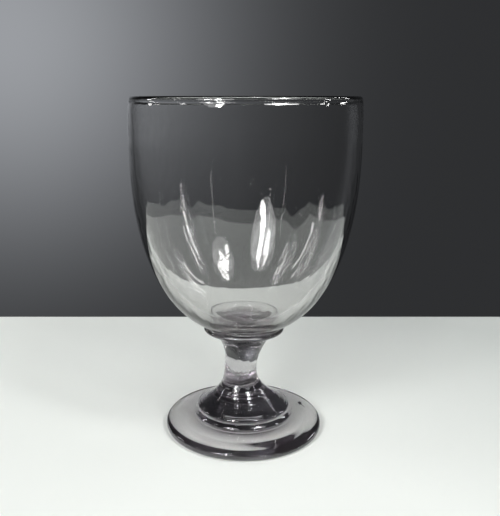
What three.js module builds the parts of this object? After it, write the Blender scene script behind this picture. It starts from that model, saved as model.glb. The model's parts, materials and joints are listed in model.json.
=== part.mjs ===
// Rummer glass, antique: a large blown bowl, a collar, a short waisted stem with a bell-shaped base,
// a terrace disc and a thick flat foot. The five gathers of glass were joined hot, face to face.
// Millimetres, +Z up. The origin is the middle of the ring that the foot rests on.

import * as THREE from 'three';

// Foot: a thick disc with a rounded edge, slightly hollow below so that it rests on a ring
const footRadius = 35.8;
const footEdgeHeight = 5.4;
const footCrownRise = 1.4;
const restRingRadius = 33.2;
const restRingWidth = 3.6;
const footHollowDepth = 1.1;

// Pontil mark: the shallow round patch ground out under the foot, where the rod was broken off
const pontilRadius = 9;
const pontilDepth = 0.9;

// Terrace: the low disc between the foot and the bell of the stem. Its top rounds off over a
// wider shoulder than its underside
const terraceRadius = 22.6;
const terraceHeight = 3;
const terraceShoulder = 2.4;

// Stem: a bell edge below, a waist, and a flare that opens under the collar
const bellRadius = 21.2;
const bellEdgeHeight = 2.2;
const bellToWaistHeight = 19;
const waistRadius = 7.5;
const waistToTopHeight = 12.4;
const stemTopRadius = 11.6;
const bellFlareShare = 2.85;
const topFlareShare = 1.95;

// The stem was drawn out by hand: at this share of its height it stands furthest off the axis
const stemSway = 1.4;
const stemSwayShare = 0.48;

// Collar: a disc of glass squeezed between the bowl and the stem, with a thin rounded edge
const collarRadius = 18.1;
const collarHeight = 6.1;
const collarEdgeHeight = 1.9;
const collarGrooveDepth = 0.8;

// Bowl: its side follows a superellipse outside, and its wall thickens evenly from the belly down
// to the seat, where it runs out into a nearly level floor. Fire polishing left a bead in the lip
const bowlSeatRadius = 17.4;
const bellyRadius = 49.5;
const bellyDepth = 84.6;
const bellyToRimHeight = 19.3;
const rimDrawIn = 0.8;
const bowlWall = 2.3;
const bowlSeatWall = 5.2;
const bowlFloorThickness = 3.9;
const lipRise = 1.8;
const lipBead = 0.5;
const bowlFullnessShare = 2.3;
const rimDrawInShare = 4;

// Facets around each turned piece, and steps along each curve of its outline
const wideFacets = 56;
const narrowFacets = 36;
const edgeSteps = 5;
const lipSteps = 7;
const gentleSteps = 3;
const flareSteps = 7;
const bellySteps = 14;
const rimSteps = 4;

// Heights of the seams, from the resting ring up
const terraceSeat = footEdgeHeight + footCrownRise;
const stemSeat = terraceSeat + terraceHeight;
const stemHeight = bellEdgeHeight + bellToWaistHeight + waistToTopHeight;
const collarSeat = stemSeat + stemHeight;
const bowlSeat = collarSeat + collarHeight;

// Material of every gather: smoky glass with an amethyst cast
function smokyGlass(color) {
  return new THREE.MeshStandardMaterial({
    color,
    roughness: 0.06,
    metalness: 0,
    transparent: true,
    opacity: 0.5,
  });
}

// Turns an outline of radius and height points about the upright axis
function turned(outline, facets) {
  const geometry = new THREE.LatheGeometry(outline, facets);
  geometry.rotateX(Math.PI / 2);
  return geometry;
}

// Points of a half-round edge, from its lower end to its upper end
function roundedEdge(radius, lowHeight, edgeHeight) {
  const edge = new THREE.Path();
  const roundness = edgeHeight / 2;
  edge.absarc(radius - roundness, lowHeight + roundness, roundness, -Math.PI / 2, Math.PI / 2, false);
  return edge.getPoints(edgeSteps);
}

function makeFoot() {
  const underEdge = new THREE.QuadraticBezierCurve(
    new THREE.Vector2(restRingRadius, 0),
    new THREE.Vector2(footRadius, 0),
    new THREE.Vector2(footRadius, footEdgeHeight / 2),
  );
  const overEdge = new THREE.QuadraticBezierCurve(
    new THREE.Vector2(footRadius, footEdgeHeight / 2),
    new THREE.Vector2(footRadius, footEdgeHeight),
    new THREE.Vector2(restRingRadius, footEdgeHeight),
  );
  const hollow = new THREE.QuadraticBezierCurve(
    new THREE.Vector2(pontilRadius, footHollowDepth),
    new THREE.Vector2((pontilRadius + restRingRadius - restRingWidth) / 2, footHollowDepth),
    new THREE.Vector2(restRingRadius - restRingWidth, 0),
  );
  const crown = new THREE.QuadraticBezierCurve(
    new THREE.Vector2(restRingRadius, footEdgeHeight),
    new THREE.Vector2((restRingRadius + terraceRadius) / 2, footEdgeHeight),
    new THREE.Vector2(terraceRadius, terraceSeat),
  );
  const outline = [
    new THREE.Vector2(0, footHollowDepth + pontilDepth),
    ...pontilOutline(),
    ...hollow.getPoints(gentleSteps),
    ...underEdge.getPoints(edgeSteps),
    ...overEdge.getPoints(edgeSteps).slice(1),
    ...crown.getPoints(gentleSteps).slice(1),
    new THREE.Vector2(0, terraceSeat),
  ];
  return new THREE.Mesh(turned(outline, wideFacets), smokyGlass(0x77717c));
}

// The ground patch is a shallow dish, so its outline falls along an arc from the middle to its edge
function pontilOutline() {
  const dish = new THREE.EllipseCurve(
    0, footHollowDepth, pontilRadius, pontilDepth, Math.PI / 2, 0, true,
  );
  return dish.getPoints(gentleSteps).slice(1, -1);
}

function makeTerrace() {
  const roundness = terraceHeight / 2;
  const under = new THREE.EllipseCurve(
    terraceRadius - roundness, roundness, roundness, roundness, -Math.PI / 2, 0,
  );
  const over = new THREE.EllipseCurve(
    terraceRadius - terraceShoulder, roundness, terraceShoulder, roundness, 0, Math.PI / 2,
  );
  const outline = [
    new THREE.Vector2(0, 0),
    ...under.getPoints(edgeSteps),
    ...over.getPoints(edgeSteps).slice(1),
    new THREE.Vector2(0, terraceHeight),
  ];
  return new THREE.Mesh(turned(outline, narrowFacets), smokyGlass(0x4a4550));
}

// Radius of the stem at a height above the rounded edge of its bell
function stemRadius(height) {
  const fromWaist = height - bellToWaistHeight;
  if (fromWaist < 0) {
    const reach = -fromWaist / bellToWaistHeight;
    return waistRadius + (bellRadius - bellEdgeHeight / 2 - waistRadius) * reach ** bellFlareShare;
  }
  const reach = fromWaist / waistToTopHeight;
  return waistRadius + (stemTopRadius - waistRadius) * reach ** topFlareShare;
}

// Moves the stem's rings sideways, and not at all at the two seams
function swayStem(geometry) {
  const position = geometry.attributes.position;
  const furthestHeight = stemSwayShare * stemHeight;
  for (let i = 0; i < position.count; i += 1) {
    const height = position.getZ(i);
    const share = height < furthestHeight
      ? height / furthestHeight
      : (stemHeight - height) / (stemHeight - furthestHeight);
    const ease = (1 - Math.cos(Math.PI * share)) / 2;
    position.setX(i, position.getX(i) - stemSway * ease);
  }
}

function makeStem() {
  const outline = [
    new THREE.Vector2(0, 0),
    ...roundedEdge(bellRadius, 0, bellEdgeHeight),
  ];
  const flareHeight = bellToWaistHeight + waistToTopHeight;
  const flareCount = 2 * flareSteps;
  for (let i = 1; i <= flareCount; i += 1) {
    const height = flareHeight * i / flareCount;
    outline.push(new THREE.Vector2(stemRadius(height), bellEdgeHeight + height));
  }
  outline.push(new THREE.Vector2(0, stemHeight));
  const geometry = turned(outline, narrowFacets);
  swayStem(geometry);
  return new THREE.Mesh(geometry, smokyGlass(0x544d5b));
}

function makeCollar() {
  const edgeTop = collarHeight - collarGrooveDepth;
  const edgeBottom = edgeTop - collarEdgeHeight;
  const underside = new THREE.QuadraticBezierCurve(
    new THREE.Vector2(stemTopRadius, 0),
    new THREE.Vector2((stemTopRadius + collarRadius - collarEdgeHeight / 2) / 2, edgeBottom),
    new THREE.Vector2(collarRadius - collarEdgeHeight / 2, edgeBottom),
  );
  const outline = [
    new THREE.Vector2(0, 0),
    ...underside.getPoints(edgeSteps),
    ...roundedEdge(collarRadius, edgeBottom, collarEdgeHeight).slice(1),
    new THREE.Vector2(bowlSeatRadius, collarHeight),
    new THREE.Vector2(0, collarHeight),
  ];
  return new THREE.Mesh(turned(outline, narrowFacets), smokyGlass(0x5d5663));
}

// Angle on the bowl's superellipse, from 0 at the belly, where it meets the collar's seat
function seatAngle() {
  return Math.acos((bowlSeatRadius / bellyRadius) ** (bowlFullnessShare / 2));
}

// Depth below the belly of the bowl's outside at an angle
function outsideDepth(angle) {
  return bellyDepth * Math.sin(angle) ** (2 / bowlFullnessShare);
}

// A point of the bowl's outside below the belly, from the seat up
function outsidePoint(angle) {
  const radius = bellyRadius * Math.cos(angle) ** (2 / bowlFullnessShare);
  return new THREE.Vector2(radius, outsideDepth(seatAngle()) - outsideDepth(angle));
}

// The direction straight out of the bowl's wall at an angle
function outwardAt(angle) {
  const steepness = bowlFullnessShare - 1;
  const across = (outsidePoint(angle).x / bellyRadius) ** steepness / bellyRadius;
  const down = (outsideDepth(angle) / bellyDepth) ** steepness / bellyDepth;
  return new THREE.Vector2(across, -down).normalize();
}

// The inside of the wall at an angle: the outside moved in by the wall's thickness there
function insidePoint(angle) {
  const thickness = bowlWall + (bowlSeatWall - bowlWall) * angle / seatAngle();
  return outsidePoint(angle).sub(outwardAt(angle).multiplyScalar(thickness));
}

// The floor leaves the wall in the wall's own direction and levels out towards the middle
function floorCurve() {
  const corner = insidePoint(seatAngle());
  const outward = outwardAt(seatAngle());
  const levelRadius = corner.x + (corner.y - bowlFloorThickness) * outward.y / outward.x;
  return new THREE.QuadraticBezierCurve(
    corner,
    new THREE.Vector2(levelRadius, bowlFloorThickness),
    new THREE.Vector2(0, bowlFloorThickness),
  );
}

// Radius of the bowl's outside at a height above the belly
function upperRadius(aboveBelly) {
  return bellyRadius - rimDrawIn * (aboveBelly / bellyToRimHeight) ** rimDrawInShare;
}

// The lip's bead: flush with the outside, and rounded back to the wall on the inside
function lipOutline(outerRadius, baseHeight) {
  const halfWidth = (bowlWall + lipBead) / 2;
  const turnIn = Math.acos((bowlWall - halfWidth) / halfWidth);
  const bead = new THREE.EllipseCurve(
    outerRadius - halfWidth, baseHeight, halfWidth, lipRise, 0, Math.PI + turnIn, false,
  );
  return bead.getPoints(lipSteps);
}

function makeBowl() {
  const bellyHeight = outsideDepth(seatAngle());
  const lipHeight = bellyToRimHeight - lipRise;
  const outline = [new THREE.Vector2(0, 0)];
  for (let i = bellySteps; i >= 0; i -= 1) {
    outline.push(outsidePoint(seatAngle() * i / bellySteps));
  }
  for (let i = 1; i < rimSteps; i += 1) {
    const above = lipHeight * i / rimSteps;
    outline.push(new THREE.Vector2(upperRadius(above), bellyHeight + above));
  }
  outline.push(...lipOutline(upperRadius(lipHeight), bellyHeight + lipHeight));
  for (let i = rimSteps - 1; i > 0; i -= 1) {
    const above = lipHeight * i / rimSteps;
    outline.push(new THREE.Vector2(upperRadius(above) - bowlWall, bellyHeight + above));
  }
  for (let i = 0; i < bellySteps; i += 1) {
    outline.push(insidePoint(seatAngle() * i / bellySteps));
  }
  outline.push(...floorCurve().getPoints(gentleSteps));
  return new THREE.Mesh(turned(outline, wideFacets), smokyGlass(0xa9a6ad));
}

// Names a piece and stands it on its seam
function placed(mesh, name, seatHeight) {
  mesh.name = name;
  mesh.position.z = seatHeight;
  return mesh;
}

const rummer = new THREE.Group();
rummer.add(placed(makeFoot(), 'foot', 0));
rummer.add(placed(makeTerrace(), 'terrace', terraceSeat));
rummer.add(placed(makeStem(), 'stem', stemSeat));
rummer.add(placed(makeCollar(), 'collar', collarSeat));
rummer.add(placed(makeBowl(), 'bowl', bowlSeat));

export default rummer;
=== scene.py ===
"""Antique rummer glass: a blown bowl, a collar, a waisted stem, a terrace disc and a thick foot.

Each gather of smoky glass is turned from its outline by one Geometry Nodes tree, then dressed as
solid or blown glass. Metres, +Z up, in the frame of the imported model.
"""

import json
import logging
import math
from dataclasses import dataclass, field, fields
from enum import Enum

import bpy
from bpy.types import Material, Mesh, Node, NodeSocket, NodeTree, Object, bpy_prop_collection
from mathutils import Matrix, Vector

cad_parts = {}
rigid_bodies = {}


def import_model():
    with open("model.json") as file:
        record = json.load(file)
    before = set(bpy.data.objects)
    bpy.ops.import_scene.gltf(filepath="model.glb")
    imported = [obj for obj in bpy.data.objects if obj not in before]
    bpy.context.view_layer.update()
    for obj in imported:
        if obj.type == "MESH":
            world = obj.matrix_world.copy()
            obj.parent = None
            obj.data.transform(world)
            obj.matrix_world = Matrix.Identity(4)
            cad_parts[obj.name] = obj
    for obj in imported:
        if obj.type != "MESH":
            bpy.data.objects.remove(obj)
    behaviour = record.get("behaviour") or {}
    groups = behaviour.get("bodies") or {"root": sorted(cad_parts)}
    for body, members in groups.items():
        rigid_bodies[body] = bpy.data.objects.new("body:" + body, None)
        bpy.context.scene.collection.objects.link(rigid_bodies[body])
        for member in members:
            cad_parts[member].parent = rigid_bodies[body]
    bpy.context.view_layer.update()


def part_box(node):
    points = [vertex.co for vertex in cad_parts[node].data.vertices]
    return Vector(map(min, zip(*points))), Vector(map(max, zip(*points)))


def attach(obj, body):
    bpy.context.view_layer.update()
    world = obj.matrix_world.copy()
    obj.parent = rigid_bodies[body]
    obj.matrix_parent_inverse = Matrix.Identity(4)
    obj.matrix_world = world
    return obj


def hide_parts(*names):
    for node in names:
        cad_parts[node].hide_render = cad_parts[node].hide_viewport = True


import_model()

LOG = logging.getLogger("rummer")

MM = 0.001
LIGHT_BOUNCES = 32  # enough for light to cross every wall of the glass and come out again
MIRROR_BOUNCES = 12
NOISE_DETAIL = 1.0
SEAM_STEPS = 8
SEAM_CORNERS = 0.99  # a face is on a seam when this share of its corners is
BUBBLE_SUBDIVISIONS = 3

# Radius, height, and whether the point is on a seam with the next gather.
OutlinePoint = tuple[float, float, bool]


class Slot(Enum):
    """Material slots of the record."""

    BLOWN = "blown_glass"
    SOLID = "solid_glass"


class LampShape(Enum):
    """Outlines of the lamps."""

    ROUND = "ELLIPSE"
    STRIP = "RECTANGLE"


def linear_colour(hex_colour: str) -> tuple[float, float, float, float]:
    """Turns an sRGB hex colour into the linear colour that shaders take.

    Args:
        hex_colour: six hex digits, with or without a leading hash.

    Returns:
        Red, green, blue and an alpha of 1, as linear shares.
    """
    digits = hex_colour.lstrip("#")
    channels = [int(digits[i:i + 2], 16) / 255 for i in (0, 2, 4)]
    linear = [c / 12.92 if c <= 0.04045 else ((c + 0.055) / 1.055) ** 2.4 for c in channels]
    return (*linear, 1.0)


def add_node(tree: NodeTree, kind: str, settings: dict | None = None,
             inputs: dict | None = None) -> Node:
    """Adds a node with its settings, plain input values and links.

    Args:
        tree: the node tree that gets the node.
        kind: the node's type name.
        settings: attributes of the node by name.
        inputs: what goes into each input, by its name or number; a socket, or a node's first
            output, is linked, and anything else is set as the input's own value.

    Returns:
        The new node.
    """
    node = tree.nodes.new(kind)
    for name, value in (settings or {}).items():
        setattr(node, name, value)
    for key, value in (inputs or {}).items():
        if isinstance(value, Node):
            value = value.outputs[0]
        if isinstance(value, NodeSocket):
            tree.links.new(value, node.inputs[key])
        else:
            node.inputs[key].default_value = value
    return node


def arc(centre: tuple[float, float], reach: tuple[float, float], start: float, end: float,
        steps: int) -> list[OutlinePoint]:
    """Lists the points of an elliptical arc in an outline.

    Args:
        centre: radius and height of the arc's centre.
        reach: half-axes of the ellipse, across and up.
        start: first angle in degrees, from straight outward, turning up.
        end: last angle in degrees.
        steps: number of steps between the first and the last point.

    Returns:
        The arc's points, none of them on a seam.
    """
    points = []
    for i in range(steps + 1):
        angle = math.radians(start + (end - start) * i / steps)
        across = centre[0] + reach[0] * math.cos(angle)
        points.append((across, centre[1] + reach[1] * math.sin(angle), False))
    return points


def curve(first: tuple[float, float], handle: tuple[float, float], last: tuple[float, float],
          steps: int) -> list[OutlinePoint]:
    """Lists the points of a quadratic curve in an outline.

    Args:
        first: radius and height of the first point.
        handle: radius and height of the control point.
        last: radius and height of the last point.
        steps: number of steps between the first and the last point.

    Returns:
        The curve's points, none of them on a seam.
    """
    points = []
    for i in range(steps + 1):
        t = i / steps
        weights = ((1 - t) ** 2, 2 * t * (1 - t), t ** 2)
        across = sum(w * p[0] for w, p in zip(weights, (first, handle, last)))
        height = sum(w * p[1] for w, p in zip(weights, (first, handle, last)))
        points.append((across, height, False))
    return points


def seam_points(start: float, end: float, height: float) -> list[OutlinePoint]:
    """Lists the points of a level seam with the next gather.

    Args:
        start: radius of the first point.
        end: radius of the last point.
        height: height of the seam.

    Returns:
        The seam's points.
    """
    return [(start + (end - start) * i / SEAM_STEPS, height, True) for i in range(SEAM_STEPS + 1)]


@dataclass
class Lathe:
    """Turns an outline about the upright axis with Geometry Nodes.

    The outline is a string of points in the modifier's own mesh. A grid takes one row for each
    of them and one column for each facet, and is wrapped round the axis. Each field is an input
    of the node tree, by its own name. The waves, ripples and bubbles are as large as real ones,
    and a bubble is given by its radius.
    """

    facets: int = 320
    sway: float = 0.0
    sway_low: float = 0.0
    sway_peak: float = 0.01
    sway_high: float = 0.02
    wave_depth: float = 0.0
    wave_length: float = 0.02
    wave_seed: float = 0.0
    ripple_depth: float = 0.0
    ripple_length: float = 0.008
    ripple_radius: float = 0.05
    crease: float = math.radians(35.0)
    weld_distance: float = 0.0005 * MM
    bubble_density: float = 200.0
    bubble_small: float = 0.08 * MM
    bubble_large: float = 0.26 * MM
    bubble_shallow: float = 0.6 * MM
    bubble_deep: float = 1.4 * MM
    random_seed: int = 7

    def settings(self) -> dict[str, float | int]:
        """Each setting's value, by the name of its input in the tree."""
        return {item.name.replace("_", " ").title(): getattr(self, item.name)
                for item in fields(self)}

    def tree(self) -> NodeTree:
        """Builds the tree once, with a named input for each of the lathe's settings.

        Returns:
            The node tree, shared by every turned piece.
        """
        known = bpy.data.node_groups.get("Lathe")
        if known is not None:
            return known
        tree = bpy.data.node_groups.new("Lathe", "GeometryNodeTree")
        sockets = tree.interface
        sockets.new_socket("Outline", in_out="INPUT", socket_type="NodeSocketGeometry")
        for name, value in self.settings().items():
            kind = "NodeSocketInt" if isinstance(value, int) else "NodeSocketFloat"
            sockets.new_socket(name, in_out="INPUT", socket_type=kind)
        sockets.new_socket("Finish", in_out="INPUT", socket_type="NodeSocketMaterial")
        sockets.new_socket("Piece", in_out="OUTPUT", socket_type="NodeSocketGeometry")
        given = add_node(tree, "NodeGroupInput").outputs
        wrapped = self._wrap(tree, given)
        swayed = self._sway(tree, given, wrapped)
        welded = add_node(tree, "GeometryNodeMergeByDistance",
                          inputs={"Geometry": swayed, "Distance": given["Weld Distance"]})
        waved = self._wave(tree, given, welded)
        rippled = self._ripple(tree, given, waved)
        marked = self._mark_seams(tree, rippled)
        angle = add_node(tree, "GeometryNodeInputMeshEdgeAngle")
        soft = add_node(tree, "ShaderNodeMath", {"operation": "LESS_THAN"},
                        {0: angle.outputs["Unsigned Angle"], 1: given["Crease"]})
        seeded = self._seed(tree, given, marked)
        round_faces = add_node(tree, "GeometryNodeSetShadeSmooth", {"domain": "FACE"},
                               {"Geometry": seeded, "Shade Smooth": True})
        smooth = add_node(tree, "GeometryNodeSetShadeSmooth", {"domain": "EDGE"},
                          {"Geometry": round_faces, "Shade Smooth": soft})
        real = add_node(tree, "GeometryNodeRealizeInstances", inputs={"Geometry": smooth})
        dressed = add_node(tree, "GeometryNodeSetMaterial",
                           inputs={"Geometry": real, "Material": given["Finish"]})
        add_node(tree, "NodeGroupOutput", inputs={"Piece": dressed})
        return tree

    def _wrap(self, tree: NodeTree, given: bpy_prop_collection) -> Node:
        """Wraps a grid round the axis, each row at its outline point.

        Args:
            tree: the lathe's tree.
            given: outputs of the tree's input node.

        Returns:
            The wrapped surface, still open along its first column.
        """
        count = add_node(tree, "GeometryNodeAttributeDomainSize",
                         inputs={"Geometry": given["Outline"]}).outputs["Point Count"]
        columns = add_node(tree, "ShaderNodeMath", {"operation": "ADD"},
                           {0: given["Facets"], 1: 1.0})
        grid = add_node(tree, "GeometryNodeMeshGrid",
                        inputs={"Vertices X": columns, "Vertices Y": count}).outputs["Mesh"]
        index = add_node(tree, "GeometryNodeInputIndex")
        row = add_node(tree, "ShaderNodeMath", {"operation": "MODULO"}, {0: index, 1: count})
        ratio = add_node(tree, "ShaderNodeMath", {"operation": "DIVIDE"}, {0: index, 1: count})
        column = add_node(tree, "ShaderNodeMath", {"operation": "FLOOR"}, {0: ratio})
        turn = add_node(tree, "ShaderNodeMath", {"operation": "DIVIDE"},
                        {0: column, 1: given["Facets"]})
        angle = add_node(tree, "ShaderNodeMath", {"operation": "MULTIPLY"}, {0: turn, 1: math.tau})
        place = add_node(tree, "GeometryNodeInputPosition")
        sampled = add_node(tree, "GeometryNodeSampleIndex", {"data_type": "FLOAT_VECTOR"},
                           {"Geometry": given["Outline"], "Value": place, "Index": row})
        parts = add_node(tree, "ShaderNodeSeparateXYZ", inputs={0: sampled}).outputs
        held = grid
        for name in ("fused", "ground"):
            source = add_node(tree, "GeometryNodeInputNamedAttribute", {"data_type": "FLOAT"},
                              {"Name": name})
            at_row = add_node(tree, "GeometryNodeSampleIndex", {"data_type": "FLOAT"},
                              {"Geometry": given["Outline"], "Value": source, "Index": row})
            held = add_node(tree, "GeometryNodeStoreNamedAttribute",
                            {"data_type": "FLOAT", "domain": "POINT"},
                            {"Geometry": held, "Name": name, "Value": at_row})
        cosine = add_node(tree, "ShaderNodeMath", {"operation": "COSINE"}, {0: angle})
        sine = add_node(tree, "ShaderNodeMath", {"operation": "SINE"}, {0: angle})
        across = add_node(tree, "ShaderNodeMath", {"operation": "MULTIPLY"},
                          {0: parts[0], 1: cosine})
        along = add_node(tree, "ShaderNodeMath", {"operation": "MULTIPLY"}, {0: parts[0], 1: sine})
        where = add_node(tree, "ShaderNodeCombineXYZ", inputs={0: across, 1: along, 2: parts[2]})
        return add_node(tree, "GeometryNodeSetPosition",
                        inputs={"Geometry": held, "Position": where})

    def _sway(self, tree: NodeTree, given: bpy_prop_collection, surface: Node) -> Node:
        """Moves the rings between two heights sideways, most at the peak.

        Args:
            tree: the lathe's tree.
            given: outputs of the tree's input node.
            surface: the wrapped surface.

        Returns:
            The swayed surface.
        """
        place = add_node(tree, "GeometryNodeInputPosition")
        height = add_node(tree, "ShaderNodeSeparateXYZ", inputs={0: place}).outputs[2]
        rising, falling = (
            add_node(tree, "ShaderNodeMapRange",
                     inputs={0: height, 1: given[end], 2: given["Sway Peak"]})
            for end in ("Sway Low", "Sway High"))
        share = add_node(tree, "ShaderNodeMath", {"operation": "MINIMUM"}, {0: rising, 1: falling})
        half_turn = add_node(tree, "ShaderNodeMath", {"operation": "MULTIPLY"},
                             {0: share, 1: math.pi})
        cosine = add_node(tree, "ShaderNodeMath", {"operation": "COSINE"}, {0: half_turn})
        ease = add_node(tree, "ShaderNodeMath", {"operation": "MULTIPLY_ADD"},
                        {0: cosine, 1: -0.5, 2: 0.5})
        shift = add_node(tree, "ShaderNodeMath", {"operation": "MULTIPLY"},
                         {0: ease, 1: given["Sway"]})
        offset = add_node(tree, "ShaderNodeCombineXYZ", inputs={0: shift})
        return add_node(tree, "GeometryNodeSetPosition",
                        inputs={"Geometry": surface, "Offset": offset})

    def _draw_in(self, tree: NodeTree, given: bpy_prop_collection, surface: Node,
                 kind: str, place: Node, outward: Node) -> Node:
        """Draws a surface in by noise, apart from its seams.

        Args:
            tree: the lathe's tree.
            given: outputs of the tree's input node.
            surface: the surface to draw in.
            kind: first word of the inputs that give the noise its depth and its length.
            place: where the noise is read.
            outward: the direction that the surface moves away from.

        Returns:
            The surface drawn in.
        """
        scale = add_node(tree, "ShaderNodeMath", {"operation": "DIVIDE"},
                         {0: 1.0, 1: given[kind + " Length"]})
        noise = add_node(tree, "ShaderNodeTexNoise", {"noise_dimensions": "4D"},
                         {"Vector": place, "W": given["Wave Seed"], "Scale": scale,
                          "Detail": NOISE_DETAIL})
        fused = add_node(tree, "GeometryNodeInputNamedAttribute", {"data_type": "FLOAT"},
                         {"Name": "fused"})
        held = add_node(tree, "ShaderNodeMath", {"operation": "SUBTRACT"}, {0: fused, 1: 1.0})
        depth = add_node(tree, "ShaderNodeMath", {"operation": "MULTIPLY"},
                         {0: noise, 1: given[kind + " Depth"]})
        inward = add_node(tree, "ShaderNodeMath", {"operation": "MULTIPLY"}, {0: depth, 1: held})
        offset = add_node(tree, "ShaderNodeVectorMath", {"operation": "SCALE"},
                          {0: outward, "Scale": inward})
        return add_node(tree, "GeometryNodeSetPosition",
                        inputs={"Geometry": surface, "Offset": offset})

    def _wave(self, tree: NodeTree, given: bpy_prop_collection, surface: Node) -> Node:
        """Draws the surface in by the shallow waves of glass worked by hand.

        Args:
            tree: the lathe's tree.
            given: outputs of the tree's input node.
            surface: the welded surface.

        Returns:
            The waved surface.
        """
        place = add_node(tree, "GeometryNodeInputPosition")
        normal = add_node(tree, "GeometryNodeInputNormal")
        return self._draw_in(tree, given, surface, "Wave", place, normal)

    def _ripple(self, tree: NodeTree, given: bpy_prop_collection, surface: Node) -> Node:
        """Draws both sides of a wall in alike, by the short ripples of chilled glass.

        The wall keeps its thickness, so that reflections crinkle and the view through it doesn't.

        Args:
            tree: the lathe's tree.
            given: outputs of the tree's input node.
            surface: the waved surface.

        Returns:
            The rippled surface.
        """
        place = add_node(tree, "GeometryNodeInputPosition")
        level = add_node(tree, "ShaderNodeVectorMath", {"operation": "MULTIPLY"},
                         {0: place, 1: (1.0, 1.0, 0.0)})
        outward = add_node(tree, "ShaderNodeVectorMath", {"operation": "NORMALIZE"}, {0: level})
        height = add_node(tree, "ShaderNodeVectorMath", {"operation": "MULTIPLY"},
                          {0: place, 1: (0.0, 0.0, 1.0)})
        round_wall = add_node(tree, "ShaderNodeVectorMath", {"operation": "SCALE"},
                              {0: outward, "Scale": given["Ripple Radius"]})
        spot = add_node(tree, "ShaderNodeVectorMath", {"operation": "ADD"},
                        {0: round_wall, 1: height})
        return self._draw_in(tree, given, surface, "Ripple", spot, outward)

    def _mark_seams(self, tree: NodeTree, surface: Node) -> Node:
        """Marks each face whose corners all lie on a seam.

        Args:
            tree: the lathe's tree.
            surface: the rippled surface.

        Returns:
            The surface with its seam attribute.
        """
        fused = add_node(tree, "GeometryNodeInputNamedAttribute", {"data_type": "FLOAT"},
                         {"Name": "fused"})
        on_face = add_node(tree, "GeometryNodeFieldOnDomain",
                           {"data_type": "FLOAT", "domain": "FACE"}, {0: fused})
        seam = add_node(tree, "ShaderNodeMath", {"operation": "GREATER_THAN"},
                        {0: on_face, 1: SEAM_CORNERS})
        return add_node(tree, "GeometryNodeStoreNamedAttribute",
                        {"data_type": "FLOAT", "domain": "FACE"},
                        {"Geometry": surface, "Name": "seam", "Value": seam})

    def _seed(self, tree: NodeTree, given: bpy_prop_collection, surface: Node) -> Node:
        """Scatters the small air bubbles of old glass just under the free surface.

        Args:
            tree: the lathe's tree.
            given: outputs of the tree's input node.
            surface: the surface with its seams marked.

        Returns:
            The surface and the bubbles, whose faces look into the air that they hold.
        """
        seam = add_node(tree, "GeometryNodeInputNamedAttribute", {"data_type": "FLOAT"},
                        {"Name": "seam"})
        free = add_node(tree, "ShaderNodeMath", {"operation": "LESS_THAN"}, {0: seam, 1: 0.5})
        spots = add_node(tree, "GeometryNodeDistributePointsOnFaces",
                         inputs={"Mesh": surface, "Selection": free,
                                 "Density": given["Bubble Density"],
                                 "Seed": given["Random Seed"]}).outputs
        depth, girth = (
            add_node(tree, "FunctionNodeRandomValue", {"data_type": "FLOAT"},
                     {2: given[least], 3: given[most], "Seed": given["Random Seed"]}).outputs[1]
            for least, most in (("Bubble Shallow", "Bubble Deep"),
                                ("Bubble Small", "Bubble Large")))
        inward = add_node(tree, "ShaderNodeMath", {"operation": "MULTIPLY"}, {0: depth, 1: -1.0})
        offset = add_node(tree, "ShaderNodeVectorMath", {"operation": "SCALE"},
                          {0: spots["Normal"], "Scale": inward})
        sunk = add_node(tree, "GeometryNodeSetPosition",
                        inputs={"Geometry": spots["Points"], "Offset": offset})
        ball = add_node(tree, "GeometryNodeMeshIcoSphere",
                        inputs={"Radius": 1.0, "Subdivisions": BUBBLE_SUBDIVISIONS})
        hollow = add_node(tree, "GeometryNodeFlipFaces", inputs={"Mesh": ball})
        bubbles = add_node(tree, "GeometryNodeInstanceOnPoints",
                           inputs={"Points": sunk, "Instance": hollow, "Scale": girth})
        real = add_node(tree, "GeometryNodeRealizeInstances", inputs={"Geometry": bubbles})
        both = add_node(tree, "GeometryNodeJoinGeometry", inputs={"Geometry": surface})
        tree.links.new(real.outputs[0], both.inputs["Geometry"])
        return both

    def turn(self, name: str, outline: list[OutlinePoint], ground_below: float,
             finish: Material) -> Object:
        """Turns one outline into a plain mesh piece.

        Args:
            name: the piece's name.
            outline: the outline's points, from the axis round to the axis.
            ground_below: radius inside which the underside is ground rough, or zero.
            finish: the piece's material.

        Returns:
            The finished object, its place in its mesh, with no modifier left.
        """
        host_mesh = bpy.data.meshes.new(name + "_outline")
        host_mesh.from_pydata([(r, 0.0, z) for r, z, _ in outline], [], [])
        flags = host_mesh.attributes.new("fused", "FLOAT", "POINT")
        flags.data.foreach_set("value", [1.0 if f else 0.0 for _, _, f in outline])
        rough = host_mesh.attributes.new("ground", "FLOAT", "POINT")
        half = len(outline) // 2
        rough.data.foreach_set("value", [
            1.0 if i < half and r < ground_below else 0.0 for i, (r, _, _) in enumerate(outline)])
        host = bpy.data.objects.new(name + "_outline", host_mesh)
        bpy.context.scene.collection.objects.link(host)
        modifier = host.modifiers.new("Lathe", "NODES")
        modifier.node_group = self.tree()
        values = {**self.settings(), "Finish": finish}
        for socket in modifier.node_group.interface.items_tree:
            if socket.in_out == "INPUT" and socket.name in values:
                modifier[socket.identifier] = values[socket.name]
        graph = bpy.context.evaluated_depsgraph_get()
        mesh = bpy.data.meshes.new_from_object(host.evaluated_get(graph))
        mesh.name = name
        bpy.data.objects.remove(host)
        bpy.data.meshes.remove(host_mesh)
        piece = bpy.data.objects.new(name, mesh)
        bpy.context.scene.collection.objects.link(piece)
        return piece


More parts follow.
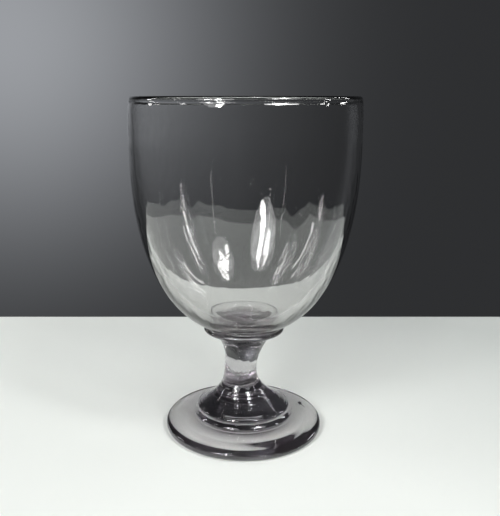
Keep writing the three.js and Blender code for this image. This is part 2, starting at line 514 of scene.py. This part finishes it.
@dataclass(frozen=True)
class GlassFinish:
    """Lead glass with a manganese tint, blown or drawn hot and fire-polished.

    The eye sees a clear skin with sharp reflections, here and there dulled a little by handling,
    and a smoky amethyst body that darkens with the depth of glass that light crosses. Where two
    gathers are fused, the skin bends and reflects nothing. The pontil mark is ground and polished
    again, and looks slightly frosted.
    """

    name: str
    ior: float = 1.56  # lead glass has 1.54 to 1.6
    mirror: float = 1.55  # painted reflection: reflects more than a clean skin, lifting every reflection past what the glass gives
    body_colour: tuple[float, float, float] = (0.608, 0.58, 0.615)
    density: float = 64.0
    polish: float = 0.0
    smear: float = 0.03
    smear_size: float = 0.03
    smear_edges: tuple[float, float] = (0.5, 0.8)
    smear_detail: float = 3.0
    ground_roughness: float = 0.12

    def material(self) -> Material:
        """Builds the glass as a Principled skin round an absorbing volume.

        Returns:
            The material.
        """
        finish = bpy.data.materials.new(self.name)
        finish.use_nodes = True
        tree = finish.node_tree
        tree.nodes.clear()
        place = add_node(tree, "ShaderNodeTexCoord").outputs["Object"]
        smudges = add_node(tree, "ShaderNodeTexNoise",
                           inputs={"Vector": place, "Scale": 1 / self.smear_size,
                                   "Detail": self.smear_detail})
        polish = add_node(tree, "ShaderNodeMapRange",
                          inputs={0: smudges, 1: self.smear_edges[0], 2: self.smear_edges[1],
                                  3: self.polish, 4: self.polish + self.smear})
        ground = add_node(tree, "ShaderNodeAttribute", {"attribute_name": "ground"}).outputs[2]
        roughness = add_node(tree, "ShaderNodeMix", {"data_type": "FLOAT"},
                             {0: ground, 2: polish, 3: self.ground_roughness})
        seam = add_node(tree, "ShaderNodeAttribute", {"attribute_name": "seam"}).outputs[2]
        ior = add_node(tree, "ShaderNodeMix", {"data_type": "FLOAT"},
                       {0: seam, 2: self.ior, 3: 1.0})
        # The Specular Tint above 1 paints the reflections brighter than the glass itself gives.
        skin = add_node(tree, "ShaderNodeBsdfPrincipled",
                        inputs={"Base Color": (1.0, 1.0, 1.0, 1.0), "Roughness": roughness,
                                "IOR": ior, "Specular Tint": (*[self.mirror] * 3, 1.0),
                                "Transmission Weight": 1.0})
        body = add_node(tree, "ShaderNodeVolumeAbsorption",
                        inputs={"Color": (*self.body_colour, 1.0), "Density": self.density})
        add_node(tree, "ShaderNodeOutputMaterial", inputs={"Surface": skin, "Volume": body})
        return finish


@dataclass
class Gather:
    """One gather of glass: its CAD node, its slot and its lathe."""

    node: str
    slot: Slot
    finish: Material
    lathe: Lathe
    seam_gap: float = 0.02 * MM
    fine_steps: int = 12
    low: Vector = field(init=False)
    high: Vector = field(init=False)

    def __post_init__(self) -> None:
        """Reads the node's box from the frame."""
        self.low, self.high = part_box(self.node)

    @property
    def radius(self) -> float:
        """Largest radius of the gather, in depth, which no sway changes."""
        return self.high.y

    def outline(self) -> list[OutlinePoint]:
        """Lists the outline from the axis, round below and outside, back to the axis."""
        raise NotImplementedError

    def ground_radius(self) -> float:
        """Radius of the patch ground rough under the gather, or zero."""
        return 0.0

    def work_by_hand(self, mesh: Mesh) -> None:
        """Gives the turned mesh what the hand left on one side of it, where it did."""

    def build(self) -> Object:
        """Turns, dresses and seats the gather.

        Returns:
            The piece that stands for the CAD node.
        """
        piece = self.lathe.turn(self.node + "_glass", self.outline(), self.ground_radius(),
                                self.finish)
        self.work_by_hand(piece.data)
        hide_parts(self.node)
        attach(piece, "root")
        LOG.info("%s: %d faces", piece.name, len(piece.data.polygons))
        return piece


@dataclass
class Foot(Gather):
    """The thick flat foot, slightly hollow below, with a ground-out pontil mark.

    Each slump gives the most that the upper edge sinks, the angle where it does, counted from
    +X, and the angle to either side at which it has nearly ended.
    """

    edge_height: float = 5.4 * MM
    rest_radius: float = 33.2 * MM
    rest_width: float = 3.6 * MM
    hollow_depth: float = 1.1 * MM
    pontil_radius: float = 9.0 * MM  # ground out, and dull inside it
    pontil_depth: float = 0.9 * MM
    crown_radius: float = 22.6 * MM
    contact_radius: float = 21.1 * MM
    slumps: tuple[tuple[float, float, float], ...] = (
        (1.6 * MM, -95.0, 70.0), (1.7 * MM, -55.0, 30.0))
    slump_start: float = 28.6 * MM  # radius outside which it sinks
    slump_power: float = 1.2
    nick_place: tuple[float, float] = (28.4 * MM, 8.5 * MM)
    nick_reach: tuple[float, float] = (1.6 * MM, 4.0 * MM)  # half its width and its length
    nick_lip: float = 0.5  # share of that which slopes
    nick_depth: float = 0.8 * MM

    def ground_radius(self) -> float:
        """Radius of the ground pontil mark."""
        return self.pontil_radius

    def work_by_hand(self, mesh: Mesh) -> None:
        """Slumps the upper edge at two places, and opens one long bubble into a nick.

        Args:
            mesh: the turned mesh.
        """
        middle = self.edge_height / 2
        for vertex in mesh.vertices:
            across, along, height = vertex.co
            if height > middle:
                above = min(1.0, (height - middle) / middle)
                vertex.co.z -= above * self.slump_at(across, along) + self.nick_at(across, along)

    def slump_at(self, across: float, along: float) -> float:
        """Finds how far the foot's upper edge has sunk.

        Args:
            across: first coordinate of a place on the foot.
            along: its second coordinate.

        Returns:
            The depth there.
        """
        reach = (math.hypot(across, along) - self.slump_start) / (self.radius - self.slump_start)
        turn = math.degrees(math.atan2(along, across))
        depth = 0.0
        for most, middle, spread in self.slumps:
            beside = (turn - middle + 180) % 360 - 180
            depth += most * math.exp(-(beside / spread) ** 2)
        return depth * max(0.0, reach) ** self.slump_power

    def nick_at(self, across: float, along: float) -> float:
        """Finds the depth of the nick, which is long in the direction of the turn.

        Args:
            across: first coordinate of a place on the foot.
            along: its second coordinate.

        Returns:
            The depth there.
        """
        turn = math.atan2(self.nick_place[1], self.nick_place[0])
        outward = across * math.cos(turn) + along * math.sin(turn) - math.hypot(*self.nick_place)
        beside = along * math.cos(turn) - across * math.sin(turn)
        reach = math.hypot(outward / self.nick_reach[0], beside / self.nick_reach[1])
        share = min(1.0, max(0.0, (1 - reach) / self.nick_lip))
        return self.nick_depth * share * share * (3 - 2 * share)

    def outline(self) -> list[OutlinePoint]:
        """Lists the foot's outline."""
        middle = self.edge_height / 2
        inner_rest = self.rest_radius - self.rest_width
        top = self.high.z - self.seam_gap
        dish = []
        for i in range(self.fine_steps):
            angle = math.pi / 2 * (1 - i / self.fine_steps)
            dish.append((self.pontil_radius * math.cos(angle) if i else 0.0,
                         self.hollow_depth + self.pontil_depth * math.sin(angle), False))
        hollow = curve((self.pontil_radius, self.hollow_depth),
                       ((self.pontil_radius + inner_rest) / 2, self.hollow_depth),
                       (inner_rest, 0.0), 2 * self.fine_steps)
        under = curve((self.rest_radius, 0.0), (self.radius, 0.0), (self.radius, middle),
                      self.fine_steps)
        over = curve((self.radius, middle), (self.radius, self.edge_height),
                     (self.rest_radius, self.edge_height), self.fine_steps)
        crown = curve((self.rest_radius, self.edge_height),
                      ((self.rest_radius + self.crown_radius) / 2, self.edge_height),
                      (self.crown_radius, top), 2 * self.fine_steps)
        return [*dish, *hollow, *under, *over[1:], *crown[1:],
                *seam_points(self.contact_radius, 0.0, top)]


@dataclass
class Terrace(Gather):
    """The low disc between the foot and the stem's bell, with a sloping shoulder."""

    contact_above: float = 20.1 * MM
    shoulder: float = 1.5 * MM
    shoulder_power: float = 1.2

    def outline(self) -> list[OutlinePoint]:
        """Lists the terrace's outline."""
        low = self.low.z + self.seam_gap
        high = self.high.z - self.seam_gap
        rounding = (high - low) / 2
        under = arc((self.radius - rounding, low + rounding), (rounding, rounding), -90, 0,
                    self.fine_steps)
        over = []
        for across, above, _ in arc((0.0, 0.0), (1.0, 1.0), 0, 90, 3 * self.fine_steps)[1:]:
            inward = self.shoulder * (1 - max(0.0, across) ** (2 / self.shoulder_power))
            rise = rounding * above ** (2 / self.shoulder_power)
            over.append((self.radius - inward, low + rounding + rise, False))
        return [*seam_points(0.0, self.radius - rounding, low), *under[1:], *over,
                *seam_points(self.contact_above, 0.0, high)]


@dataclass
class Stem(Gather):
    """The short waisted stem, with its bell below and its flare above."""

    bell_edge: float = 2.2 * MM
    bell_edge_turn: float = 66.0  # degrees of its rounding above level, where the bell begins
    waist_radius: float = 7.5 * MM
    waist_above_edge: float = 19.0 * MM
    top_radius: float = 11.6 * MM
    bell_power: float = 2.85
    flare_power: float = 1.95
    bell_steps: int = 150
    flare_steps: int = 40
    ring_height: float = 0.13 * MM
    ring_spacing: float = 1.5 * MM
    ring_beat: float = 0.31
    sway: float = 1.4 * MM
    sway_share: float = 0.48

    def __post_init__(self) -> None:
        """Reads the box and bends the stem to one side between its seams."""
        super().__post_init__()
        self.lathe.sway = -self.sway
        self.lathe.sway_low = self.low.z
        self.lathe.sway_peak = self.low.z + self.sway_share * (self.high.z - self.low.z)
        self.lathe.sway_high = self.high.z

    def bell_radius(self, share: float) -> float:
        """Radius of the bell at a share of the way down from the waist to its edge.

        The tools left faint rings on it, uneven in height.
        """
        rounding = self.bell_edge / 2
        reach = self.radius - rounding * (1 - math.cos(math.radians(self.bell_edge_turn)))
        across = self.waist_radius + (reach - self.waist_radius) * share ** self.bell_power
        turns = (across - self.waist_radius) / self.ring_spacing
        ring = math.sin(math.tau * turns) * math.cos(self.ring_beat * math.tau * turns)
        return across - self.ring_height * (1 + ring) * share

    def outline(self) -> list[OutlinePoint]:
        """Lists the stem's outline: seat, bell edge, bell, flare and upper seat."""
        low = self.low.z + self.seam_gap
        high = self.high.z - self.seam_gap
        rounding = self.bell_edge / 2
        edge_top = low + rounding * (1 + math.sin(math.radians(self.bell_edge_turn)))
        waist = low + self.bell_edge + self.waist_above_edge
        edge = arc((self.radius - rounding, low + rounding), (rounding, rounding), -90,
                   self.bell_edge_turn, 2 * self.fine_steps)
        bell = []
        for i in range(1, self.bell_steps + 1):
            share = 1 - i / self.bell_steps
            bell.append((self.bell_radius(share), waist - (waist - edge_top) * share, False))
        flare = []
        for i in range(1, self.flare_steps):
            share = i / self.flare_steps
            across = (self.top_radius - self.waist_radius) * share ** self.flare_power
            flare.append((self.waist_radius + across, waist + (high - waist) * share, False))
        return [*seam_points(0.0, self.radius - rounding, low), *edge[1:], *bell, *flare,
                *seam_points(self.top_radius, 0.0, high)]


@dataclass
class Collar(Gather):
    """The disc of glass between the stem and the bowl."""

    seat_radius: float = 17.4 * MM
    stem_radius: float = 11.6 * MM
    edge_height: float = 1.9 * MM
    groove_depth: float = 0.8 * MM
    shoulder_steps: int = 4

    def outline(self) -> list[OutlinePoint]:
        """Lists the collar's outline."""
        low = self.low.z + self.seam_gap
        high = self.high.z - self.seam_gap
        edge_top = high - self.groove_depth
        edge_low = edge_top - self.edge_height
        rounding = self.edge_height / 2
        across = self.radius - rounding
        underside = curve((self.stem_radius, low), ((self.stem_radius + across) / 2, edge_low),
                          (across, edge_low), 2 * self.fine_steps)
        edge = arc((across, edge_low + rounding), (rounding, rounding), -90, 90,
                   2 * self.fine_steps)
        shares = [i / self.shoulder_steps for i in range(1, self.shoulder_steps)]
        shoulder = [(across + (self.seat_radius - across) * share,
                     edge_top + (high - edge_top) * share, False) for share in shares]
        return [*seam_points(0.0, self.stem_radius, low), *underside[1:], *edge[1:], *shoulder,
                *seam_points(self.seat_radius, 0.0, high)]


@dataclass
class Bowl(Gather):
    """The deep blown bowl: a beaded lip, and a wall that thickens down to the seat."""

    seat_radius: float = 17.4 * MM
    belly_depth: float = 84.6 * MM
    belly_to_rim: float = 19.3 * MM
    rim_draw_in: float = 0.8 * MM
    rim_power: float = 4.0
    wall: float = 2.3 * MM
    seat_wall: float = 5.2 * MM
    floor: float = 3.9 * MM
    lip_rise: float = 1.8 * MM
    lip_bead: float = 0.5 * MM
    fullness: float = 2.3
    belly_steps: int = 90
    rim_steps: int = 16

    @property
    def seat_angle(self) -> float:
        """Angle on the superellipse, from 0 at the belly, where it meets the seat."""
        return math.acos((self.seat_radius / self.radius) ** (self.fullness / 2))

    def depth_at(self, angle: float) -> float:
        """Depth of the outside below the belly at an angle."""
        return self.belly_depth * math.sin(angle) ** (2 / self.fullness)

    def outside_at(self, angle: float) -> tuple[float, float]:
        """Radius of the outside at an angle, and its height above the seat."""
        across = self.radius * math.cos(angle) ** (2 / self.fullness)
        return across, self.depth_at(self.seat_angle) - self.depth_at(angle)

    def outward_at(self, angle: float) -> tuple[float, float]:
        """Direction straight out of the wall at an angle."""
        steepness = self.fullness - 1
        across = (self.outside_at(angle)[0] / self.radius) ** steepness / self.radius
        down = (self.depth_at(angle) / self.belly_depth) ** steepness / self.belly_depth
        length = math.hypot(across, down)
        return across / length, -down / length

    def inside_at(self, angle: float) -> tuple[float, float]:
        """The outside moved in by the wall's thickness at an angle."""
        share = angle / self.seat_angle
        thickness = self.wall + (self.seat_wall - self.wall) * share
        across, height = self.outside_at(angle)
        out_across, out_height = self.outward_at(angle)
        return across - out_across * thickness, height - out_height * thickness

    def upper_radius(self, above: float) -> float:
        """Outside radius at a height above the belly."""
        return self.radius - self.rim_draw_in * (above / self.belly_to_rim) ** self.rim_power

    def floor_points(self) -> list[OutlinePoint]:
        """Lists the floor, which leaves the wall in its direction and levels out."""
        corner = self.inside_at(self.seat_angle)
        out_across, out_height = self.outward_at(self.seat_angle)
        level_radius = corner[0] + (corner[1] - self.floor) * out_height / out_across
        return curve(corner, (level_radius, self.floor), (0.0, self.floor), 2 * self.fine_steps)

    def outline(self) -> list[OutlinePoint]:
        """Lists the bowl's outline: seat, outside, lip, inside and floor."""
        seat = self.low.z
        steps = [self.seat_angle * i / self.belly_steps for i in range(self.belly_steps + 1)]
        belly = self.depth_at(self.seat_angle)
        outside = [(*self.outside_at(angle), False) for angle in reversed(steps[:-1])]
        lip_height = self.belly_to_rim - self.lip_rise
        rising = [lip_height * i / self.rim_steps for i in range(1, self.rim_steps)]
        upper = [(self.upper_radius(above), belly + above, False) for above in rising]
        half_width = (self.wall + self.lip_bead) / 2
        lip_centre = (self.upper_radius(lip_height) - half_width, belly + lip_height)
        turn_in = math.degrees(math.acos((self.wall - half_width) / half_width))
        lip = arc(lip_centre, (half_width, self.lip_rise), 0, 180 + turn_in, 3 * self.fine_steps)
        down = [(r - self.wall, z, False) for r, z, _ in reversed(upper)]
        inside = [(*self.inside_at(angle), False) for angle in steps[:-1]]
        body = [*outside, *upper, *lip, *down, *inside, *self.floor_points()]
        return [*seam_points(0.0, self.seat_radius, seat + self.seam_gap),
                *((r, seat + z, fused) for r, z, fused in body)]


@dataclass
class Softbox:
    """One large soft lamp of the studio, aimed at the glass.

    Its azimuth is in degrees from the viewer's side, to the right, its sizes are in metres.
    """

    name: str
    azimuth: float
    elevation: float
    width: float
    height: float
    radiance: float
    shape: LampShape = LampShape.ROUND
    distance: float = 1.2
    aim_height: float = 0.08

    def build(self) -> Object:
        """Makes the lamp.

        Returns:
            The lamp object.
        """
        lamp = bpy.data.lights.new(self.name, "AREA")
        lamp.shape = self.shape.value
        lamp.size, lamp.size_y = self.width, self.height
        area = self.width * self.height * (math.pi / 4 if self.shape is LampShape.ROUND else 1)
        lamp.energy = self.radiance * math.pi * area
        turn, rise = math.radians(self.azimuth), math.radians(self.elevation)
        direction = Vector((math.sin(turn) * math.cos(rise), -math.cos(turn) * math.cos(rise),
                            math.sin(rise)))
        item = bpy.data.objects.new(self.name, lamp)
        item.location = Vector((0, 0, self.aim_height)) + direction * self.distance
        item.rotation_euler = direction.to_track_quat("Z", "Y").to_euler()
        bpy.context.scene.collection.objects.link(item)
        return item


@dataclass
class Studio:
    """The pale table top, the dark room behind it, the lamps and the camera.

    Each painted shade on the table gives a direction, where it starts and ends that way, in metres
    from the foot's middle, and the darker colour that it ends in.
    """

    table_outline: tuple[tuple[float, float], ...] = (
        (-0.13, -0.265), (0.12, -0.265), (0.175, -0.222), (0.175, -0.17), (0.29, -0.155),
        (0.34, 0.16), (-0.34, 0.16), (-0.32, -0.08), (-0.29, -0.15), (-0.225, -0.175),
        (-0.225, -0.228))
    table_colour: str = "#f0f3ee"
    table_roughness: float = 0.6
    # painted shade on the table: a direction, where it starts and ends, and the shade colour
    greyings: tuple[tuple[tuple[float, float, float], float, float, str], ...] = (
        ((0.7, 0.7, 0.0), 0.0, 0.2, "#d4d8d4"), ((0.0, -1.0, 0.0), 0.075, 0.15, "#e2e6e1"))
    room_colour: str = "#f4f8ff"
    room_strength: float = 0.03
    patch_direction: tuple[float, float, float] = (-0.3, 0.9505, 0.08)
    patch_strength: float = 0.33
    patch_width: float = 0.26  # in radians, from the pale patch's middle
    fill_colour: str = "#e8ecee"
    fill_strength: float = 0.28
    camera_distance: float = 0.297
    camera_height: float = 0.1503
    camera_offset: float = -0.0073
    camera_pitch: float = 13.32
    focal_pixels: float = 688.0
    centre_pixel: float = 227.7
    frame_pixels: tuple[int, int] = (500, 516)
    sensor: float = 36.0
    nearest: float = 0.01  # how near to it the camera still sees

    def build_table(self) -> None:
        """Lays the pale painted table top, level with the foot's resting ring.

        Shade is painted into the paint's colour: darker towards the far right corner and towards
        the near edge, standing in for how the lamps' light falls across the table.
        """
        mesh = bpy.data.meshes.new("table_top")
        corners = [(across, along, 0) for across, along in self.table_outline]
        mesh.from_pydata(corners, [], [tuple(range(len(corners)))])
        paint = bpy.data.materials.new("satin_white_paint")
        paint.use_nodes = True
        shader = paint.node_tree.nodes["Principled BSDF"]
        shader.inputs["Roughness"].default_value = self.table_roughness
        place = add_node(paint.node_tree, "ShaderNodeTexCoord").outputs["Object"]
        colour = linear_colour(self.table_colour)
        # painted shade: each step mixes the paint towards a darker colour along one direction
        for direction, start, end, shade_colour in self.greyings:
            towards = add_node(paint.node_tree, "ShaderNodeVectorMath",
                               {"operation": "DOT_PRODUCT"},
                               {0: place, 1: direction}).outputs["Value"]
            shade_share = add_node(paint.node_tree, "ShaderNodeMapRange",
                              inputs={0: towards, 1: start, 2: end})
            colour = add_node(paint.node_tree, "ShaderNodeMix", {"data_type": "RGBA"},
                              {0: shade_share, 6: colour, 7: linear_colour(shade_colour)}).outputs[2]
        paint.node_tree.links.new(colour, shader.inputs["Base Color"])
        mesh.materials.append(paint)
        table = bpy.data.objects.new("table_top", mesh)
        bpy.context.scene.collection.objects.link(table)

    def build_room(self) -> None:
        """Sets a dark room for what the eye and the glass see, and a pale fill for the rest.

        The room pales towards the left and upwards, as a wall lit from one side does.
        """
        world = bpy.data.worlds.new("studio")
        bpy.context.scene.world = world
        world.use_nodes = True
        tree = world.node_tree
        tree.nodes.clear()
        path = add_node(tree, "ShaderNodeLightPath").outputs
        glassy = path["Is Camera Ray"]
        for kind in ("Is Glossy Ray", "Is Transmission Ray"):
            glassy = add_node(tree, "ShaderNodeMath", {"operation": "MAXIMUM"},
                              {0: glassy, 1: path[kind]})
        # Light on its way to the table takes the pale fill, also when it comes through the glass.
        first = add_node(tree, "ShaderNodeMath", {"operation": "LESS_THAN"},
                         {0: path["Diffuse Depth"], 1: 0.5})
        shown = add_node(tree, "ShaderNodeMath", {"operation": "MULTIPLY"}, {0: glassy, 1: first})
        direction = add_node(tree, "ShaderNodeTexCoord").outputs["Generated"]
        near_patch = add_node(tree, "ShaderNodeVectorMath", {"operation": "DOT_PRODUCT"},
                              {0: direction, 1: self.patch_direction}).outputs["Value"]
        fall = 2 / self.patch_width ** 2
        power = add_node(tree, "ShaderNodeMath", {"operation": "MULTIPLY_ADD"},
                         {0: near_patch, 1: fall, 2: -fall})
        pale = add_node(tree, "ShaderNodeMath", {"operation": "EXPONENT"}, {0: power})
        strength = add_node(tree, "ShaderNodeMath", {"operation": "MULTIPLY_ADD"},
                            {0: pale, 1: self.patch_strength, 2: self.room_strength})
        fill, room = (
            add_node(tree, "ShaderNodeBackground",
                     inputs={"Color": linear_colour(colour), "Strength": glow})
            for colour, glow in ((self.fill_colour, self.fill_strength),
                                 (self.room_colour, strength)))
        mixed = add_node(tree, "ShaderNodeMixShader", inputs={0: shown, 1: fill, 2: room})
        add_node(tree, "ShaderNodeOutputWorld", inputs={"Surface": mixed})

    def build_lamps(self) -> None:
        """Hangs the soft lamps: two windows, each with brighter panes, and strips at the sides."""
        lamps = (
            Softbox("left_window", -31, 33, 0.70, 0.84, 2.75),
            Softbox("left_low_pane", -26, 18.5, 0.16, 0.16, 22.0),
            Softbox("left_tall_pane", -28, 34, 0.08, 0.74, 22.0),
            Softbox("left_side_pane", -39, 36, 0.10, 0.40, 20.0),
            Softbox("right_window", 42, 46, 0.62, 0.66, 2.0),
            Softbox("right_tall_pane", 44, 50, 0.17, 0.44, 20.0),
            Softbox("right_side_pane", 30, 42, 0.10, 0.22, 22.0),
            Softbox("left_strip", -105, 21, 0.07, 0.45, 9.0, LampShape.STRIP),
            Softbox("left_high_strip", -73, 34, 0.05, 0.3, 6.0, LampShape.STRIP),
            Softbox("right_strip", 84, 21, 0.05, 0.42, 11.0, LampShape.STRIP),
            Softbox("right_high_strip", 118, 30, 0.07, 0.44, 10.0, LampShape.STRIP),
        )
        for lamp in lamps:
            lamp.build()

    def build_camera(self) -> None:
        """Stands the camera where the photograph's view is from."""
        camera = bpy.data.cameras.new("camera")
        camera.sensor_fit = "AUTO"
        camera.sensor_width = self.sensor
        camera.lens = self.focal_pixels / max(self.frame_pixels) * self.sensor
        camera.shift_x = (self.frame_pixels[0] / 2 - self.centre_pixel) / max(self.frame_pixels)
        camera.clip_start = self.nearest
        item = bpy.data.objects.new("camera", camera)
        item.location = (self.camera_offset, -self.camera_distance, self.camera_height)
        item.rotation_euler = (math.radians(90 - self.camera_pitch), 0, 0)
        bpy.context.scene.collection.objects.link(item)
        bpy.context.scene.camera = item

    def build(self) -> None:
        """Builds the whole studio."""
        self.build_camera()
        self.build_table()
        self.build_room()
        self.build_lamps()


def main() -> None:
    """Builds the studio and the five gathers of glass, each seated on the root body."""
    logging.basicConfig(level=logging.INFO)
    scene = bpy.context.scene
    for item in list(scene.objects):
        if item.type in ("CAMERA", "LIGHT") or item.name == "Cube":
            bpy.data.objects.remove(item)
    scene.view_settings.view_transform = "Standard"
    scene.cycles.max_bounces = LIGHT_BOUNCES
    scene.cycles.transmission_bounces = LIGHT_BOUNCES
    scene.cycles.glossy_bounces = MIRROR_BOUNCES
    scene.cycles.blur_glossy = 0.0
    scene.cycles.sample_clamp_indirect = 0.0
    Studio().build()
    blown = GlassFinish("blown_amethyst_glass", body_colour=(0.61, 0.6, 0.585)).material()
    solid = GlassFinish("drawn_amethyst_glass").material()
    gathers = (
        Foot("foot", Slot.SOLID, solid, Lathe(wave_depth=0.1 * MM, wave_length=0.02)),
        Terrace("terrace", Slot.SOLID, solid, Lathe(wave_depth=0.05 * MM)),
        Stem("stem", Slot.SOLID, solid, Lathe(
            wave_depth=0.07 * MM, wave_length=0.006, wave_seed=3.0, ripple_depth=0.3 * MM,
            ripple_length=0.0035, ripple_radius=0.012)),
        Collar("collar", Slot.SOLID, solid, Lathe(wave_depth=0.05 * MM)),
        Bowl("bowl", Slot.BLOWN, blown, Lathe(
            wave_depth=0.1 * MM, wave_length=0.03, ripple_depth=0.06 * MM, ripple_length=0.004)),
    )
    for gather in gathers:
        gather.build()


if __name__ == "__main__":
    main()
